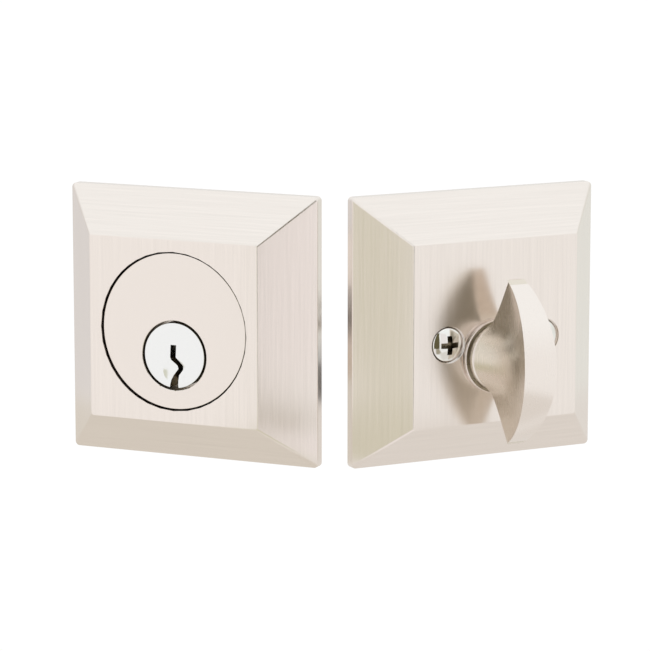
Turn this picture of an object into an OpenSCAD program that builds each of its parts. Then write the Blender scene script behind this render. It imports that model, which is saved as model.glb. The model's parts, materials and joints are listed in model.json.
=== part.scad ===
// Deadbolt door lock: exterior half, interior half and latch unit, laid out as a display set.
// Millimetres, Z up, the set stands on Z = 0.  The bolt leaves the latch along +Y.

/* [Rosettes] */
// Width and height of both square rosettes
plate = 66.7;           // [60:0.1:76]
// Width of the raised square face
face = 45.2;            // [42:0.1:52]
// Height of the raised face above the door
face_h = 14.1;          // [8:0.1:20]
// Thickness of the flat rim under the bevels
rim_h = 2.5;            // [1:0.1:4]
// Corner radius of the rosettes
corner_r = 1.1;         // [0.5:0.1:6]
// Wall thickness of the hollow rosettes
wall = 2.0;             // [1:0.1:3]

/* [Display layout] */
// Turn of the exterior half about the vertical
ext_yaw = -23.8;        // [-40:0.1:0]
// Turn of the interior half about the vertical
int_yaw = 26.4;         // [0:0.1:40]

/* [Key cylinder] */
// Radius of the cylinder face
cyl_r = 19.2;           // [16:0.05:20]
// Gap between the cylinder and the hole in the rosette
cyl_gap = 0.45;         // [0.1:0.05:1]
// How far the cylinder reaches behind the rosette
cyl_back = 15;          // [12:0.5:22]
// Radius of the plug face
plug_face_r = 8.05;     // [7:0.05:10]
// Radius of the plug body
plug_r = 6.5;           // [6:0.05:7]
// Radial running clearance of the turning parts
run_fit = 0.05;         // [0.02:0.01:0.1]
// Distance from the rosette centre down to the plug axis
axis_drop = 6.0;        // [0:0.1:10]
// Distance between pin stacks
pin_pitch = 3.96;       // [3.5:0.01:4.5]
// How far the tailpiece reaches behind the rosette
tail_end = 56;          // [40:1:80]

/* [Thumbturn] */
// Height of the thumbturn from tip to tip
turn_h = 40.4;          // [30:0.1:50]
// How far the thumbturn stands off the rosette face
turn_out = 22;          // [15:0.1:30]
// Half width of the outer band at its middle
band_w = 4.4;           // [3:0.1:7]
// Radius of the thumbturn hub
hub_r = 8.2;            // [6:0.1:10]

/* [Mounting screws] */
// Distance between the two screws
screw_gap = 26.2;       // [22:0.1:34]
// Distance from the rosette centre down to the screws
screw_drop = 2.35;      // [0:0.05:8]
// Radius of the screw heads
head_r = 4.15;          // [3:0.05:5]
// Radius of the screw threads
thread_r = 2.05;        // [1.5:0.05:3]
// How far the screws reach behind the rosette
screw_reach = 33;       // [25:0.5:45]

/* [Latch] */
// Distance from the latch front to the cam axis
backset = 60.3;         // [60.3:0.1:70]
// How far the bolt comes out
throw = 25.4;           // [20:0.1:26]
// Height of the latch front
front_h = 57.15;        // [50:0.05:60]
// Width of the latch front
front_w = 25.4;         // [22:0.1:29]
// Distance between the latch front screw holes
front_hole_gap = 41.3;  // [38:0.1:44]
// Radius of the latch front screw holes
front_hole_r = 2.25;    // [2:0.05:3]
// Radius of the rounded bolt sides
bolt_r = 11.2;          // [9:0.1:11.3]
// Thickness of the bolt
bolt_t = 14;            // [12:0.1:16]

/* [Hidden] */
$fn = 64;

// places of the three units, with the middle of the whole set over the origin
ext_at = [-33.09, -30.27, plate / 2];
int_at = [33.49, -29.71, plate / 2];
latch_at = [36.03, 64.01, front_w / 2];

half = plate / 2;
face_half = face / 2;
// inner profile of the shell: the bevel moved inwards by the wall
bev = sqrt(pow(half - face_half, 2) + pow(face_h - rim_h, 2));
bev_u = (half - face_half) / bev;
bev_y = (face_h - rim_h) / bev;
in_half = half - wall;
in_y0 = rim_h - wall * bev_u + (wall * bev_y - wall) * -bev_y / bev_u;
in_face = half - wall * bev_y - (face_h - wall - rim_h + wall * bev_u) * bev_u / bev_y;
hole_r = cyl_r + cyl_gap;
cyl_front = face_h - 0.6;       // the cylinder face lies a little below the rosette face
plug_front = face_h - 0.7;
plug_seat_r = plug_face_r + 0.6;
flange_end = plug_front - 4;
pin_y0 = -6.5;
head_sink = 0.3;          // the screw heads lie this far down in their seats
pin_r = 1.45;
bore_r = 1.5;
shear = plug_r + run_fit;
driver_len = 5.5;
plug_top = cyl_r - 2.8 + axis_drop;     // underside of the chamber plugs above the plug axis
key_low = [0.9, 1.5, 0.6, 1.8, 1.2];    // tips of the key pins above the plug axis
tail_w = 7.4;
tail_t = 2.2;
cap_r = plug_r + 0.02;
lug_half = 17;
stem_r = 5;
arm_r = throw / sqrt(2);
pin_hand = arm_r * cos(45);
drive_r = 1.6;
plate_in = 3.6;
plate_out = 5.0;
plate_half = 11.4;
bar_x = 1.0;              // inner side of the tail bar
bar_w = 3.8;
pin_x = bar_x + bar_w / 2;      // line of the two tail pins
tail_pin_y = [-32.5, -35.8];

nickel = [0.80, 0.77, 0.72];
bright = [0.86, 0.85, 0.83];
steel = [0.60, 0.61, 0.63];
brass = [0.80, 0.66, 0.36];
dark = [0.42, 0.42, 0.44];
nylon = [0.90, 0.90, 0.86];

module ext() translate(ext_at) rotate([0, 0, ext_yaw]) children();
module int() translate(int_at) rotate([0, 0, int_yaw]) children();
module latch() translate(latch_at) children();

// round bar along Y from y0 to y1
module rod(r, y0, y1, x = 0, z = 0) translate([x, y1, z]) rotate([90, 0, 0]) cylinder(r = r, h = y1 - y0);
// flat shape drawn in x and z, from y0 to y1
module slab(y0, y1, x = 0, z = 0) translate([x, y1, z]) rotate([90, 0, 0]) linear_extrude(y1 - y0) children();
module rounded(w, h, r) {
    square([w - 2 * r, h], center = true);
    square([w, h - 2 * r], center = true);
    for (sx = [-1, 1], sz = [-1, 1]) translate([sx * (w / 2 - r), sz * (h / 2 - r)]) circle(r);
}
// arc block between two radii, centred on an angle counted from straight up, counter-clockwise seen from the front
module sector(r0, r1, mid, spread, y0, y1, z) slab(y0, y1, 0, z) intersection() {
    difference() { circle(r1); circle(r0); }
    polygon([[0, 0], 12 * [-sin(mid - spread), cos(mid - spread)], 15 * [-sin(mid), cos(mid)],
        12 * [-sin(mid + spread), cos(mid + spread)]]);
}

// ---------------------------------------------------------------- rosettes
module square_dome(p) intersection() {
    translate([0, 0, -half - 5]) linear_extrude(plate + 10) polygon(p);
    rotate([0, 90, 0]) translate([0, 0, -half - 5]) linear_extrude(plate + 10) polygon(p);
}
module shell() difference() {
    intersection() {
        square_dome([[-half, 0], [-half, -rim_h], [-face_half, -face_h], [face_half, -face_h],
            [half, -rim_h], [half, 0]]);
        slab(-face_h - 1, 1) rounded(plate, plate, corner_r);
    }
    square_dome([[-in_half, 1], [-in_half, -in_y0], [-in_face, -face_h + wall],
        [in_face, -face_h + wall], [in_half, -in_y0], [in_half, 1]]);
}
module exterior_rosette() color(nickel) ext() difference() {
    shell();
    rod(hole_r, -face_h - 1, -face_h + wall + 1);
}
module back_plate() slab(-1.7, -0.1) rounded(2 * in_half - 0.2, 2 * in_half - 0.2, 1);
module exterior_backing_plate() color(steel) ext() difference() {
    back_plate();
    rod(cyl_r + 0.05, -3, 1);
}

// ---------------------------------------------------------------- key cylinder
module cylinder_body() color(nickel) ext() difference() {
    rod(cyl_r, -cyl_front, cyl_back);
    rod(plug_seat_r, -cyl_front - 1, -flange_end + 0.2, 0, -axis_drop);
    rod(shear, -cyl_front - 1, cyl_back + 1, 0, -axis_drop);
    for (k = [0:4]) translate([0, pin_y0 + k * pin_pitch, -axis_drop]) cylinder(r = bore_r, h = 40);
    for (s = [-1, 1]) rod(1.75, -8, cyl_back + 1, s * screw_gap / 2, -screw_drop);
}
module chamber_plugs() color(brass) ext() for (k = [0:4])
    translate([0, pin_y0 + k * pin_pitch, plug_top - axis_drop]) cylinder(r = bore_r - 0.02, h = 2.2);
module keyway() polygon([[-1, 2.6], [0.5, 2.6], [0.35, -0.4], [1.4, -1.5], [2.3, -2.5], [2.2, -3.4],
    [1, -4.9], [0.9, -6.1], [1.2, -9.5], [-1.5, -9.5], [-1, -6.1], [-0.5, -5], [0.8, -3.3], [0.6, -2.5],
    [-0.9, -1.2], [-1.15, -0.4]]);
module cylinder_plug() color(bright) ext() difference() {
    union() {
        rod(plug_face_r, -plug_front, -flange_end, 0, -axis_drop);
        rod(plug_r, -flange_end - 1, cyl_back + 1.5, 0, -axis_drop);
        sector(2.2, 6, 0, lug_half, cyl_back + 1, cyl_back + 3.1, -axis_drop);
    }
    // shallow dish round the lower half of the keyway
    translate([0, -plug_front - 8.775, -axis_drop - 3.9]) sphere(9.375);
    slab(-plug_front - 1, cyl_back - 1, 0, -axis_drop) keyway();
    for (k = [0:4]) translate([0, pin_y0 + k * pin_pitch, -axis_drop - 0.6]) cylinder(r = bore_r, h = 9);
}
module plug_cap() color(steel) ext() difference() {
    rod(8, cyl_back + 0.15, cyl_back + 6.2, 0, -axis_drop);
    rod(cap_r, cyl_back - 1, cyl_back + 5.3, 0, -axis_drop);
    rod(4.3, cyl_back, cyl_back + 8, 0, -axis_drop);
}
module tailpiece() color(steel) ext() {
    rod(plug_r - run_fit, cyl_back + 3.3, cyl_back + 5.1, 0, -axis_drop);
    sector(2.2, 6, 225, lug_half, cyl_back + 1.7, cyl_back + 3.4, -axis_drop);
    translate([-tail_t / 2, cyl_back + 5, -axis_drop - tail_w / 2]) cube([tail_t, tail_end - cyl_back - 5, tail_w]);
}
module key_pin(k) color(brass) ext() translate([0, pin_y0 + (k - 1) * pin_pitch, -axis_drop + key_low[k - 1]]) {
    cylinder(r1 = 0.6, r2 = pin_r, h = 0.9);
    translate([0, 0, 0.9]) cylinder(r = pin_r, h = plug_r - 0.17 - key_low[k - 1] - 0.9);
}
module driver_pin(k) color(brass) ext() translate([0, pin_y0 + (k - 1) * pin_pitch, -axis_drop + shear + 0.05])
    cylinder(r = pin_r, h = driver_len);
module pin_spring(k) color(steel) ext() translate([0, pin_y0 + (k - 1) * pin_pitch, 0]) {
    low = -axis_drop + shear + 0.05 + driver_len;
    high = plug_top - axis_drop;
    translate([0, 0, low]) difference() {
        cylinder(r = 1.35, h = high - low);
        translate([0, 0, -1]) cylinder(r = 0.95, h = high - low + 2);
    }
}
module key_pin_1() key_pin(1);
module key_pin_2() key_pin(2);
module key_pin_3() key_pin(3);
module key_pin_4() key_pin(4);
module key_pin_5() key_pin(5);
module driver_pin_1() driver_pin(1);
module driver_pin_2() driver_pin(2);
module driver_pin_3() driver_pin(3);
module driver_pin_4() driver_pin(4);
module driver_pin_5() driver_pin(5);
module pin_spring_1() pin_spring(1);
module pin_spring_2() pin_spring(2);
module pin_spring_3() pin_spring(3);
module pin_spring_4() pin_spring(4);
module pin_spring_5() pin_spring(5);

// ---------------------------------------------------------------- interior half
module screw_seat(x, z) {
    rod(head_r + 0.35, -face_h - 1, -face_h + head_sink, x, z);
    translate([x, -face_h + head_sink - 0.001, z]) rotate([-90, 0, 0])
        cylinder(r1 = head_r + 0.35, r2 = thread_r + 0.25, h = 2.15);
}
module interior_rosette() color(nickel) int() difference() {
    union() {
        shell();
        for (s = [-1, 1]) rod(5.2, -face_h + wall / 2, -1.75, s * screw_gap / 2, -screw_drop);
    }
    rod(6.3, -face_h - 1, -face_h + wall + 1, 0, -axis_drop);
    for (s = [-1, 1]) {
        rod(thread_r + 0.25, -face_h - 1, 1, s * screw_gap / 2, -screw_drop);
        screw_seat(s * screw_gap / 2, -screw_drop);
    }
}
module interior_support_plate() color(steel) int() difference() {
    back_plate();
    rod(stem_r + 0.6, -3, 1, 0, -axis_drop);
    for (s = [-1, 1]) rod(thread_r + 0.25, -3, 1, s * screw_gap / 2, -screw_drop);
}
module turn_bushing() color(brass) int() difference() {
    union() {
        rod(6.25, -face_h + 0.1, -1.75, 0, -axis_drop);
        rod(7.4, -face_h + wall + 0.05, -face_h + wall + 1.6, 0, -axis_drop);
    }
    rod(stem_r + run_fit, -face_h - 1, 1, 0, -axis_drop);
}
module turn_thrust_washer() color(nylon) int() difference() {
    rod(7.6, 0, 0.8, 0, -axis_drop);
    rod(stem_r + 0.3, -1, 2, 0, -axis_drop);
}
module turn_retaining_ring() color(dark) int() slab(0.95, 1.75, 0, -axis_drop) difference() {
    circle(7);
    circle(4.32);
    translate([-1.6, -9]) square([3.2, 8]);
}

// thumbturn blade: u runs along its height, d is the distance off the rosette face
turn_half = turn_h / 2;
tip_d = 9.2;
arc_mid = (turn_out * turn_out - tip_d * tip_d - turn_half * turn_half) / (2 * (turn_out - tip_d));
arc_r = turn_out - arc_mid;
slices = 30;
steps = 8;
function along(i) = turn_half * 0.997 * sin(90 * (2 * i / slices - 1)) ;
function top_d(u) = arc_mid + sqrt(arc_r * arc_r - u * u);
function low_d(u) = abs(u) < hub_r ? 1.8 : 1.8 + (tip_d - 2.0) * pow((abs(u) - hub_r) / (turn_half - hub_r), 0.62);
function band(u) = band_w * (1 - 0.48 * pow(u / turn_half, 2));
function waist(u) = 0.68 * band(u);
function foot(u) = pow(pow(abs(u) < hub_r ? sqrt(hub_r * hub_r - u * u) : 0, 4) + pow(waist(u), 4), 0.25);
function flare(u, s) = pow(1 - s, 2.4) * pow(max(0, 1 - pow(u / hub_r, 2)), 1.6 * s);
function side(u, s) = waist(u) + (foot(u) - waist(u)) * flare(u, s) + (band(u) - waist(u)) * pow(s, 3);
function low_s(u) = min(low_d(u), top_d(u) - 0.3);
function d_at(u, s) = low_s(u) + (top_d(u) - low_s(u)) * s;
loop = 2 * (steps + 1);
module blade() {
    pts = [for (i = [0:slices]) let (u = along(i)) each concat(
        [for (j = [0:steps]) [side(u, j / steps), -face_h - d_at(u, j / steps), u]],
        [for (j = [steps:-1:0]) [-side(u, j / steps), -face_h - d_at(u, j / steps), u]])];
    walls = [for (i = [0:slices - 1]) for (j = [0:loop - 1]) let (a = i * loop + j, b = i * loop + (j + 1) % loop)
        each [[a, b, b + loop], [a, b + loop, a + loop]]];
    ends = [[for (j = [loop - 1:-1:0]) j], [for (j = [0:loop - 1]) slices * loop + j]];
    polyhedron(points = pts, faces = concat(walls, ends), convexity = 6);
}
module thumbturn() color(nickel) int() translate([0, 0, -axis_drop]) difference() {
    union() {
        blade();
        rod(9.2, -face_h - 1.4, -face_h - 0.2);
        rod(hub_r, -face_h - 2.8, -face_h - 1.3);
        rod(stem_r, -face_h - 1, 3);
    }
    // groove between the base ring and the hub
    slab(-face_h - 1.7, -face_h - 0.7) difference() {
        circle(hub_r + 0.6);
        circle(hub_r);
    }
    difference() {
        rod(stem_r + 1, 0.95, 1.75);
        rod(4.3, 0, 4);
    }
    translate([-1.3, -7, -3.9]) cube([2.6, 12, 7.8]);
}
module screw(x) difference() {
    union() {
        translate([x, -face_h + head_sink, -screw_drop]) rotate([-90, 0, 0]) cylinder(r1 = head_r, r2 = thread_r, h = 2.1);
        rod(thread_r, -face_h + 2.3, screw_reach, x, -screw_drop);
        intersection() {
            translate([x, -face_h + head_sink - 1.25 + 7.514, -screw_drop]) sphere(7.514);
            rod(head_r, -face_h - 2, -face_h + head_sink + 0.01, x, -screw_drop);
        }
    }
    translate([x - 2.5, -face_h - 2, -screw_drop - 0.65]) cube([5, 3.3, 1.3]);
    translate([x - 0.65, -face_h - 2, -screw_drop - 2.5]) cube([1.3, 3.3, 5]);
}
module mounting_screws() color(bright) int() for (s = [-1, 1]) screw(s * screw_gap / 2);

// ---------------------------------------------------------------- latch unit
module bolt_shape(c) intersection() {
    circle(bolt_r + c);
    square([40, bolt_t + 2 * c], center = true);
}
module latch_faceplate() color(nickel) latch() difference() {
    slab(-1.6, 0) rounded(front_h, front_w, 6.35);
    slab(-3, 1) bolt_shape(0.08);
    for (s = [-1, 1]) {
        rod(front_hole_r, -3, 1, s * front_hole_gap / 2);
        translate([s * front_hole_gap / 2, 0.01, 0]) rotate([90, 0, 0]) cylinder(r1 = front_hole_r + 1.4, r2 = front_hole_r, h = 1.2);
    }
}
module faceplate_backing() color(steel) latch() difference() {
    slab(-2.85, -1.65) rounded(front_h - 3, front_w - 3, 5);
    slab(-4, 1) bolt_shape(0.3);
    for (s = [-1, 1]) rod(front_hole_r + 0.25, -4, 1, s * front_hole_gap / 2);
}
module latch_case_tube() color(steel) latch() difference() {
    rod(12.5, -42.8, -2.9);
    rod(11.45, -44, 0);
}
module side_plate(z) latch() translate([0, 0, z]) linear_extrude(plate_out - plate_in) difference() {
    union() {
        translate([-10.2, -60]) square([20.4, 21.7]);
        translate([-plate_half, -78.5]) square([2 * plate_half, 35]);
        translate([-plate_half + 2.5, -81]) square([2 * plate_half - 5, 5]);
        for (s = [-1, 1]) translate([s * (plate_half - 2.5), -78.5]) circle(2.5);
    }
    translate([-axis_drop, -backset]) circle(4.55);
    for (p = rivets) translate(p) circle(1.35);
}
rivets = [[-7, -40.4], [7, -40.4], [-8, -78], [8.4, -79.2]];
module side_plate_upper() color(steel) side_plate(plate_in);
module side_plate_lower() color(steel) side_plate(-plate_out);
module side_plate_rivets() color(bright) latch() for (p = rivets) translate([p[0], p[1], 0]) {
    translate([0, 0, -plate_out - 0.2]) cylinder(r = 1.3, h = 2 * plate_out + 0.4);
    for (s = [0, 1]) mirror([0, 0, s]) translate([0, 0, plate_out + 0.02]) cylinder(r1 = 1.75, r2 = 1.3, h = 0.5);
}
module arm() {
    at = arm_r * [cos(-45), sin(-45)];
    t = acos((5.2 - 3) / arm_r);
    circle(5.2);
    translate(at) circle(3);
    polygon([for (s = [1, -1]) 5.2 * [cos(-45 + s * t), sin(-45 + s * t)],
        for (s = [-1, 1]) at + 3 * [cos(-45 + s * t), sin(-45 + s * t)]]);
}
module cam() color(dark) latch() translate([-axis_drop, -backset, 0]) difference() {
    union() {
        translate([0, 0, -5.6]) cylinder(r = 4.5, h = 11.2);
        translate([0, 0, 0.05 - plate_in]) cylinder(r = 5.2, h = 2 * plate_in - 0.1);
        for (z = [1.2, -3.4]) translate([0, 0, z]) linear_extrude(2.2) arm();
    }
    translate([-3.8, -1.2, -8]) cube([7.6, 2.4, 16]);
    translate([pin_hand, -pin_hand, -8]) cylinder(r = drive_r + 0.01, h = 16);
}
module cam_drive_pin() color(steel) latch() translate([-axis_drop + pin_hand, -backset - pin_hand, -3.4]) cylinder(r = drive_r, h = 6.8);
module bolt() color(bright) latch() difference() {
    union() {
        slab(-38, -1) bolt_shape(0);
        intersection() {
            rotate([90, 0, 0]) cylinder(r1 = bolt_r - 1, r2 = bolt_r, h = 1);
            slab(-1.01, 0) square([40, bolt_t - 1], center = true);
        }
    }
    rod(3.25, -40, -5.8);
    translate([bar_x - 0.1, -39, -1.05]) cube([bar_w + 0.2, 9, 2.1]);
    for (y = tail_pin_y) translate([pin_x, y, -10]) cylinder(r = 1.02, h = 20);
}
module bolt_insert() color(dark) latch() rod(3.2, -29.8, -6);
module bolt_tail() color(steel) latch() difference() {
    union() {
        translate([bar_x, -backset - pin_hand - 4.15, -1]) cube([bar_w, backset + pin_hand + 4.15 - 30.2, 2]);
        for (y = [-4.15, 2.25]) translate([bar_x + 1, -backset - pin_hand + y, -1]) cube([10.3, 1.9, 2]);
    }
    for (y = tail_pin_y) translate([pin_x, y, -10]) cylinder(r = 1.02, h = 20);
}
module tail_pins() color(dark) latch() for (y = tail_pin_y) translate([pin_x, y, -6.9]) cylinder(r = 1, h = 13.8);

exterior_rosette();
exterior_backing_plate();
cylinder_body();
chamber_plugs();
cylinder_plug();
plug_cap();
tailpiece();
key_pin_1();
key_pin_2();
key_pin_3();
key_pin_4();
key_pin_5();
driver_pin_1();
driver_pin_2();
driver_pin_3();
driver_pin_4();
driver_pin_5();
pin_spring_1();
pin_spring_2();
pin_spring_3();
pin_spring_4();
pin_spring_5();
interior_rosette();
interior_support_plate();
turn_bushing();
thumbturn();
turn_thrust_washer();
turn_retaining_ring();
mounting_screws();
latch_faceplate();
faceplate_backing();
latch_case_tube();
side_plate_upper();
side_plate_lower();
side_plate_rivets();
cam();
cam_drive_pin();
bolt();
bolt_insert();
bolt_tail();
tail_pins();
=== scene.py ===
"""Deadbolt door lock in satin nickel: exterior half, interior half and latch unit.

Shapes are made in millimetres in the frame of the unit they belong to (x to the right, y into
the door, z up) and are then set in place, in metres, in the shared frame.
"""
import json
import math

import bmesh
import bpy
from mathutils import Matrix, Vector

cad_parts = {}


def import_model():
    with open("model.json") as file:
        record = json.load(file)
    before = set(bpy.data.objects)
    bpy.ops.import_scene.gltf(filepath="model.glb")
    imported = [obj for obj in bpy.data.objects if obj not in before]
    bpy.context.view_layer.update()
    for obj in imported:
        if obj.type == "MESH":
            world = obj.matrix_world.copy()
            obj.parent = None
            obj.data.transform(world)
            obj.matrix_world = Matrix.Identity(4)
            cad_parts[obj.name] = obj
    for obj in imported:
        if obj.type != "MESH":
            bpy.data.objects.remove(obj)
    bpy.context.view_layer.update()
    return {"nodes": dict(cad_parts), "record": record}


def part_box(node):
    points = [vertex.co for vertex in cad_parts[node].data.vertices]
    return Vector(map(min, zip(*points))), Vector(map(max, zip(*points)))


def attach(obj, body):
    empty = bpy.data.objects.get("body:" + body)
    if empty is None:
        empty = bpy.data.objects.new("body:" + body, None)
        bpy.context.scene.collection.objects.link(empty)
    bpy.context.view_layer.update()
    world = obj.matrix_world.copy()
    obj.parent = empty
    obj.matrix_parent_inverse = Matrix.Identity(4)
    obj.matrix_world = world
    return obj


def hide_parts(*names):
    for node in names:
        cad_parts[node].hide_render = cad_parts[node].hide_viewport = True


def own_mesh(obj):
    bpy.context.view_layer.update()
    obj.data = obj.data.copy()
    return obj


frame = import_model()

MM = 0.001
FULL_TURN = 2 * math.pi

# rosettes
PLATE = 66.7
FACE = 45.2
FACE_OUT = 14.1
RIM = 2.5
PLATE_CORNER = 1.1
FACE_CORNER = 0.5
WALL = 2.0
INNER_CORNER = 1.0
RIM_SEAT = 32.35        # the back mounts lie this far to the right of each rosette's middle
AXIS_DROP = 6.0

# key cylinder
CYLINDER_R = 19.2
CYLINDER_GAP = 0.45
CYLINDER_FRONT = 13.5
CYLINDER_BACK = 15.0
PLUG_FACE_R = 8.05
PLUG_SEAT_R = 8.65
PLUG_FRONT = 13.4
PLUG_FLANGE = 4.0
PLUG_R = 6.5
PLUG_BORE_R = 6.55
PIN_FIRST = -6.5
PIN_PITCH = 3.96
PIN_COUNT = 5
CHAMBER_R = 1.5
TAPPED_R = 1.75         # holes that the mounting screws run into
LUG_SPREAD = 17
LUG_OUTER = 6.0
LUG_INNER = 2.2

# thumbturn
TURN_HALF = 20.2
TURN_OUT = 22.0
TIP_OUT = 9.2
BAND_HALF = 4.4
HUB_R = 8.2
BASE_R = 9.2
STEM_R = 5.0
STEM_END = 3.0
STEM_HOLE_R = 6.3
GROOVE_W = 0.6
BASE_OUT = 1.4          # heights above the raised face, here and for the next three
GROOVE_FLOOR = 0.7
HUB_OUT = 2.8
FOOT_LOW = 1.8
FOOT_CURVE = 0.62
BAND_TAPER = 0.48       # share of its width that the band loses towards the tips
WAIST_SHARE = 0.68

# screws
SCREW_SIDE = 13.1
SCREW_DROP = 2.35
HEAD_R = 4.15
HEAD_SINK = 0.3
HEAD_RISE = 1.25
SEAT_R = 4.5
SHANK_R = 2.05
SCREW_END = 33.0
THREAD_PITCH = 0.79
DOME_R = (HEAD_R ** 2 + HEAD_RISE ** 2) / (2 * HEAD_RISE)

# latch
BACKSET = 60.3
FRONT_HOLE_SIDE = 20.65
BOLT_R = 11.2
BOLT_HALF_T = 7.0
RIVETS = [(-7, -40.4), (7, -40.4), (-8, -78), (8.4, -79.2)]
SIDE_PLATE_OUT = 5.0


# ------------------------------------------------------------------ units and meshes
class Unit:
    """One of the three units: where its own frame lies in the shared frame."""

    def __init__(self, middle, right, inward):
        self.middle = Vector(middle)
        self.right = Vector(right)
        self.inward = Vector(inward)
        self.yaw = math.atan2(self.right.y, self.right.x)

    def matrix(self):
        turn = Matrix.Rotation(self.yaw, 4, "Z")
        return Matrix.Translation(self.middle) @ turn @ Matrix.Scale(MM, 4)


def back_unit(mount_name):
    """A rosette's frame, from the mount on its back face."""
    mount = next(m for m in frame["record"]["mounts"] if m["name"] == mount_name)
    inward = Vector(mount["axis"])
    right = Vector((inward.y, -inward.x, 0))
    middle = Vector(mount["pos_m"]) - RIM_SEAT * MM * right
    return Unit(middle, right, inward)


exterior = back_unit("exterior_back")
interior = back_unit("interior_back")
front_low, front_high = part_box("latch_faceplate")
latch = Unit(((front_low.x + front_high.x) / 2, front_high.y, (front_low.z + front_high.z) / 2),
             (1, 0, 0), (0, 1, 0))


def new_object(name, verts, faces):
    mesh = bpy.data.meshes.new(name)
    mesh.from_pydata([tuple(v) for v in verts], [], faces)
    mesh.update()
    piece = bpy.data.objects.new(name, mesh)
    bpy.context.scene.collection.objects.link(piece)
    return piece


def clean(piece, distance=1e-4):
    """Merges doubled points and turns every face outwards."""
    work = bmesh.new()
    work.from_mesh(piece.data)
    bmesh.ops.remove_doubles(work, verts=work.verts, dist=distance)
    bmesh.ops.recalc_face_normals(work, faces=work.faces)
    work.to_mesh(piece.data)
    work.free()
    return piece


def applied(piece):
    """Turns a piece and its modifiers into one plain mesh."""
    evaluated = piece.evaluated_get(bpy.context.evaluated_depsgraph_get())
    mesh = bpy.data.meshes.new_from_object(evaluated)
    piece.modifiers.clear()
    old = piece.data
    piece.data = mesh
    bpy.data.meshes.remove(old)
    mesh.name = piece.name
    return piece


def combined(piece, operation, others):
    for other in others:
        change = piece.modifiers.new("combine", "BOOLEAN")
        change.operation = operation
        change.solver = "EXACT"
        change.object = other
    applied(piece)
    for other in others:
        bpy.data.objects.remove(other)
    return piece


def cut(piece, *tools):
    return combined(piece, "DIFFERENCE", tools)


def fused(piece, *others):
    return combined(piece, "UNION", others)


def soften(piece, width, segments=2, angle=32):
    """Breaks the sharp edges, as tumbling and polishing do."""
    edge = piece.modifiers.new("edge", "BEVEL")
    edge.width = width
    edge.segments = segments
    edge.limit_method = "ANGLE"
    edge.angle_limit = math.radians(angle)
    edge.use_clamp_overlap = True
    return applied(piece)


def shade(piece, angle=35):
    piece.data.shade_smooth()
    piece.data.set_sharp_from_angle(angle=math.radians(angle))
    flats = piece.modifiers.new("flats", "WEIGHTED_NORMAL")
    flats.keep_sharp = True
    return applied(piece)


def paint(piece, materials, choose=None):
    """Gives each face one of the materials."""
    piece.data.materials.clear()
    for material in materials:
        piece.data.materials.append(material)
    for face in piece.data.polygons:
        face.material_index = choose(face) if choose else 0
    return piece


def seat(piece, unit, body, slot, *nodes):
    """Sets a finished shape in place, hangs it on its body and hides the CAD parts it replaces."""
    piece.data.transform(unit.matrix())
    piece.data.update()
    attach(piece, body)
    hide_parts(*nodes)
    return piece


# ------------------------------------------------------------------ basic shapes
def lathe(name, profile, x=0.0, z=0.0, steps=128):
    """Turns a profile of (radius, y) points round an axis along y; it starts and ends on the axis."""
    verts = []
    faces = []
    rows = []
    for radius, y in profile:
        if radius < 1e-6:
            rows.append([len(verts)])
            verts.append((x, y, z))
            continue
        rows.append(list(range(len(verts), len(verts) + steps)))
        for k in range(steps):
            angle = FULL_TURN * k / steps
            verts.append((x + radius * math.cos(angle), y, z + radius * math.sin(angle)))
    for low, high in zip(rows, rows[1:]):
        for k in range(steps):
            n = (k + 1) % steps
            if len(low) == 1:
                faces.append((low[0], high[n], high[k]))
            elif len(high) == 1:
                faces.append((low[k], low[n], high[0]))
            else:
                faces.append((low[k], low[n], high[n], high[k]))
    if len(rows[0]) > 1:
        for k in range(steps):
            n = (k + 1) % steps
            faces.append((rows[-1][k], rows[-1][n], rows[0][n], rows[0][k]))
    return clean(new_object(name, verts, faces))


def rod(name, radius, y0, y1, x=0.0, z=0.0, steps=96):
    return lathe(name, [(0, y0), (radius, y0), (radius, y1), (0, y1)], x, z, steps)


def upright(name, radius, z0, z1, x, y, steps=48):
    """A round bar along z."""
    piece = rod(name, radius, -z1, -z0, 0, 0, steps)
    piece.data.transform(Matrix.Translation((x, y, 0)) @ Matrix.Rotation(math.radians(-90), 4, "X"))
    return clean(piece)


def prism(name, outline, y0, y1, x=0.0, z=0.0):
    """A flat outline of (x, z) points, thickened along y."""
    n = len(outline)
    verts = [(x + p[0], y0, z + p[1]) for p in outline] + [(x + p[0], y1, z + p[1]) for p in outline]
    faces = [tuple(range(n)), tuple(range(2 * n - 1, n - 1, -1))]
    faces += [(k, k + n, (k + 1) % n + n, (k + 1) % n) for k in range(n)]
    return clean(new_object(name, verts, faces))


def block(name, low, high):
    outline = [(low[0], low[2]), (high[0], low[2]), (high[0], high[2]), (low[0], high[2])]
    return prism(name, outline, low[1], high[1])


def rounded_square(half, corner, per_corner=8, per_side=10):
    """Points round a square with round corners; the same count for every size."""
    points = []
    for quarter in range(4):
        turn = math.radians(90 * quarter)
        local = [(half, (half - corner) * (2 * k / per_side - 1)) for k in range(1, per_side)]
        for k in range(per_corner + 1):
            angle = math.radians(90 * k / per_corner)
            local.append((half - corner + corner * math.cos(angle), half - corner + corner * math.sin(angle)))
        local.insert(0, (half, -(half - corner)))
        for px, pz in local[:-1]:
            points.append((px * math.cos(turn) - pz * math.sin(turn), px * math.sin(turn) + pz * math.cos(turn)))
    return points


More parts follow.
